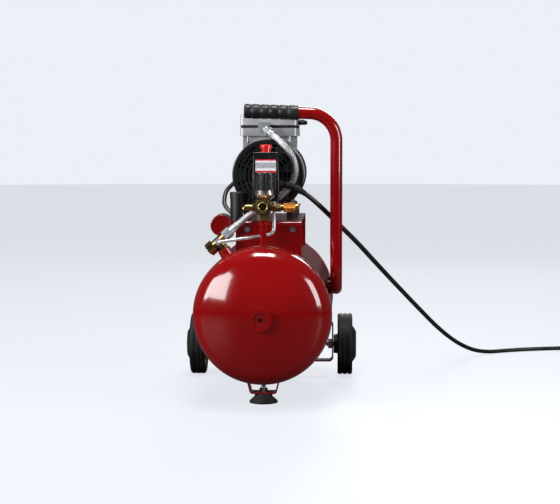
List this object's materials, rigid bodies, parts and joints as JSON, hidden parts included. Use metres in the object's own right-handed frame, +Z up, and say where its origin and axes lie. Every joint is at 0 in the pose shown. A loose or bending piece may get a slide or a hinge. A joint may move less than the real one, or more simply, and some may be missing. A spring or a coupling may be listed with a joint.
{
  "type": "air compressor",
  "caption": "Portable electric air compressor: horizontal red tank on wheels and a rubber foot, twin-cylinder oil-free pump, bent tube handle and air fittings.",
  "frame": {"origin": "on the floor, under the middle of the tank", "axes": "+Z up, +Y along the tank from the fittings to the wheels, +X to the right of someone facing the fittings"},
  "size_m": [0.9375, 0.8527, 0.5466],
  "materials": {
    "tank_paint": "glossy deep red paint",
    "cast_metal": "as-cast, satin",
    "black_plastic": "fine moulded grain",
    "black_metal": "satin black paint",
    "rubber": "matte",
    "tyre_rubber": "matte",
    "steel": "zinc plated",
    "brass": "machined",
    "nickel": "satin nickel",
    "copper": "enamelled winding wire",
    "red_plastic": "glossy"
  },
  "bodies": {
    "frame": {"tank_shell": "tank_paint", "tank_bungs": "tank_paint", "tank_end_plugs": "tank_paint", "drain_valve_body": "brass", "front_foot_bracket": "tank_paint", "front_foot": "rubber", "wheel_bracket": "tank_paint", "bracket_bolts": "steel", "handle_tube": "tank_paint", "handle_grip": "rubber", "handle_clamps": "rubber", "pump_saddle": "tank_paint", "rubber_mounts": "rubber", "mount_bolts": "steel", "intake_filter": "tank_paint", "front_crankcase": "black_metal", "rear_crankcase": "black_metal", "motor_stator": "black_metal", "stator_windings": "copper", "shaft_bearings": "steel", "cylinder_sleeves": "cast_metal", "front_fan_cover": "black_plastic", "rear_fan_cover": "black_plastic", "valve_plates": "cast_metal", "head_gaskets": "rubber", "front_cylinder_head": "cast_metal", "rear_cylinder_head": "cast_metal", "head_bolts": "steel", "crossover_pipe": "black_metal", "capacitor": "black_plastic", "motor_cable": "rubber", "riser_pipe": "tank_paint", "air_manifold": "brass", "coupler_body": "brass", "safety_valve": "brass", "regulator_body": "nickel", "pressure_switch_base": "black_plastic", "pressure_switch_cover": "black_plastic", "check_valve": "brass", "discharge_fittings": "nickel", "discharge_hose": "steel", "unloader_tube": "nickel", "lead_gland": "black_plastic", "mains_lead": "rubber", "lead_coil": "rubber", "plug": "black_plastic"},
    "left_wheel": {"left_wheel_hub": "black_plastic", "left_tyre": "tyre_rubber"},
    "right_wheel": {"right_wheel_hub": "black_plastic", "right_tyre": "tyre_rubber"},
    "rotor_body": {"rotor": "steel", "crank_cams": "steel", "front_fan": "black_plastic", "rear_fan": "black_plastic"},
    "front_piston_body": {"front_piston": "cast_metal"},
    "rear_piston_body": {"rear_piston": "cast_metal"},
    "drain_tap": {"drain_valve_tap": "brass"},
    "sleeve": {"coupler_sleeve": "brass"},
    "knob": {"regulator_knob": "black_plastic"},
    "button": {"switch_button": "red_plastic"}
  },
  "joints": [
    {"name": "left_wheel_spin", "type": "hinge", "parent": "frame", "child": "left_wheel", "pos_m": [-0.1505, 0.1865, 0.0625], "axis": [1, 0, 0], "continuous": true},
    {"name": "right_wheel_spin", "type": "hinge", "parent": "frame", "child": "right_wheel", "pos_m": [0.1505, 0.1865, 0.0625], "axis": [1, 0, 0], "continuous": true},
    {"name": "rotor_spin", "type": "hinge", "parent": "frame", "child": "rotor_body", "pos_m": [0.006, 0.02, 0.4165], "axis": [0, 1, 0], "continuous": true},
    {"name": "front_piston_stroke", "type": "slide", "parent": "frame", "child": "front_piston_body", "axis": [0, 0, 1], "range_m": [-0.009, 0.009]},
    {"name": "rear_piston_stroke", "type": "slide", "parent": "frame", "child": "rear_piston_body", "axis": [0, 0, 1], "range_m": [-0.009, 0.009]},
    {"name": "drain_tap_turn", "type": "hinge", "parent": "frame", "child": "drain_tap", "pos_m": [0, -0.06, 0.025], "axis": [0, 0, 1], "range_deg": [0, 360]},
    {"name": "coupler_sleeve_slide", "type": "slide", "parent": "frame", "child": "sleeve", "axis": [1, 0, 0], "range_m": [-0.0035, 0], "stiffness_N_per_m": 900, "springref_m": 0.001},
    {"name": "regulator_knob_turn", "type": "hinge", "parent": "frame", "child": "knob", "pos_m": [0.005, -0.2, 0.4], "axis": [0, 0, 1], "range_deg": [-540, 540]},
    {"name": "switch_button_push", "type": "slide", "parent": "frame", "child": "button", "axis": [0, 0, 1], "range_m": [-0.005, 0]}
  ]
}
